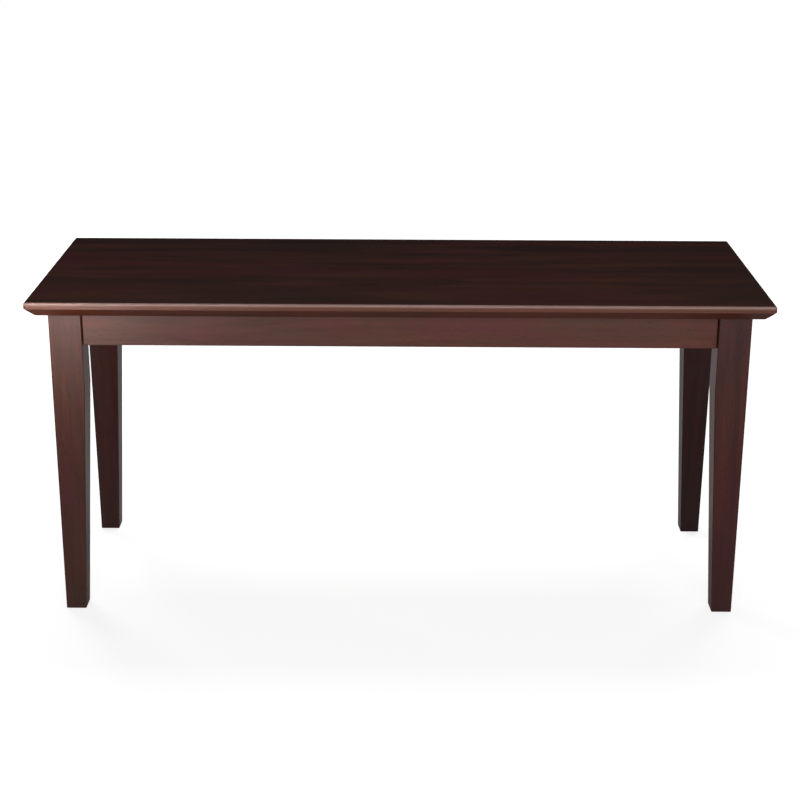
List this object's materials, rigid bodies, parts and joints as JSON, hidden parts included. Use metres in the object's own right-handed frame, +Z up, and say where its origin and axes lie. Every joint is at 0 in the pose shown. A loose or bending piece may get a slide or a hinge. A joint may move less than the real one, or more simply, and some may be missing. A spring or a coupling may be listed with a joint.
{
  "type": "entry bench",
  "caption": "Backless shaker-style wooden bench: a flat seat with undercut edges on a shallow apron frame and tapered square legs.",
  "frame": {"origin": "on the floor, in the middle of the bench's plan", "axes": "+X along the bench's length, +Y from its front to its back, +Z up"},
  "size_m": [0.9906, 0.358, 0.457],
  "materials": {
    "seat_wood": "dark brown stain under a satin lacquer",
    "leg_wood": "dark brown stain under a satin lacquer",
    "apron_wood": "dark brown stain under a satin lacquer",
    "inner_wood": "dark brown stain, matt",
    "dowel_wood": "raw",
    "plated_steel": "zinc plated"
  },
  "bodies": {
    "root": {"centre_rail": "inner_wood", "centre_rail_front_dowel_1": "dowel_wood", "centre_rail_front_dowel_2": "dowel_wood", "centre_rail_rear_dowel_1": "dowel_wood", "centre_rail_rear_dowel_2": "dowel_wood", "centre_rail_screw_1": "plated_steel", "centre_rail_screw_2": "plated_steel", "front_apron": "apron_wood", "front_apron_seat_screw_1": "plated_steel", "front_apron_seat_screw_2": "plated_steel", "front_apron_seat_screw_3": "plated_steel", "front_apron_seat_screw_4": "plated_steel", "front_left_corner_block": "inner_wood", "front_left_hanger_bolt": "plated_steel", "front_left_leg": "leg_wood", "front_left_lower_block_screw": "plated_steel", "front_left_nut": "plated_steel", "front_left_upper_block_screw": "plated_steel", "front_left_washer": "plated_steel", "front_right_corner_block": "inner_wood", "front_right_hanger_bolt": "plated_steel", "front_right_leg": "leg_wood", "front_right_lower_block_screw": "plated_steel", "front_right_nut": "plated_steel", "front_right_upper_block_screw": "plated_steel", "front_right_washer": "plated_steel", "left_apron": "apron_wood", "left_apron_seat_screw_1": "plated_steel", "left_apron_seat_screw_2": "plated_steel", "rear_apron": "apron_wood", "rear_apron_seat_screw_1": "plated_steel", "rear_apron_seat_screw_2": "plated_steel", "rear_apron_seat_screw_3": "plated_steel", "rear_apron_seat_screw_4": "plated_steel", "rear_left_corner_block": "inner_wood", "rear_left_hanger_bolt": "plated_steel", "rear_left_leg": "leg_wood", "rear_left_lower_block_screw": "plated_steel", "rear_left_nut": "plated_steel", "rear_left_upper_block_screw": "plated_steel", "rear_left_washer": "plated_steel", "rear_right_corner_block": "inner_wood", "rear_right_hanger_bolt": "plated_steel", "rear_right_leg": "leg_wood", "rear_right_lower_block_screw": "plated_steel", "rear_right_nut": "plated_steel", "rear_right_upper_block_screw": "plated_steel", "rear_right_washer": "plated_steel", "right_apron": "apron_wood", "right_apron_seat_screw_1": "plated_steel", "right_apron_seat_screw_2": "plated_steel", "seat_panel": "seat_wood"}
  },
  "joints": []
}
